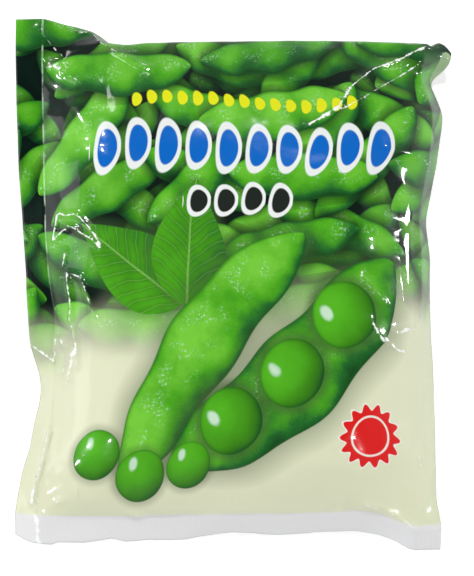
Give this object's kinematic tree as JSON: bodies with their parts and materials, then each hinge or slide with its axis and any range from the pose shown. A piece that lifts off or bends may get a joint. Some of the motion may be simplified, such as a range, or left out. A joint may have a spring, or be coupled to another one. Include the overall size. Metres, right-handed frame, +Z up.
{
  "type": "sealed frozen soybean pouch",
  "caption": "Filled flat film pouch of frozen soybean pods, heat-sealed in a band along all four edges, lying on its back with the top band folded under.",
  "frame": {"origin": "under the middle of the pouch's outer box, on the surface that it lies on", "axes": "+X to the right as seen on the printed front, +Y towards the top edge, +Z up, out of the printed front"},
  "size_m": [0.168, 0.2056, 0.0325],
  "materials": {
    "printed_film": "glossy printed film",
    "back_film": "glossy printed film",
    "pod_skin": "frosted pod skin"
  },
  "bodies": {
    "root": {"front_film": "printed_film", "back_film": "back_film", "pods_lower_layer": "pod_skin", "pods_middle_layer": "pod_skin", "pods_upper_layer": "pod_skin"}
  },
  "joints": []
}
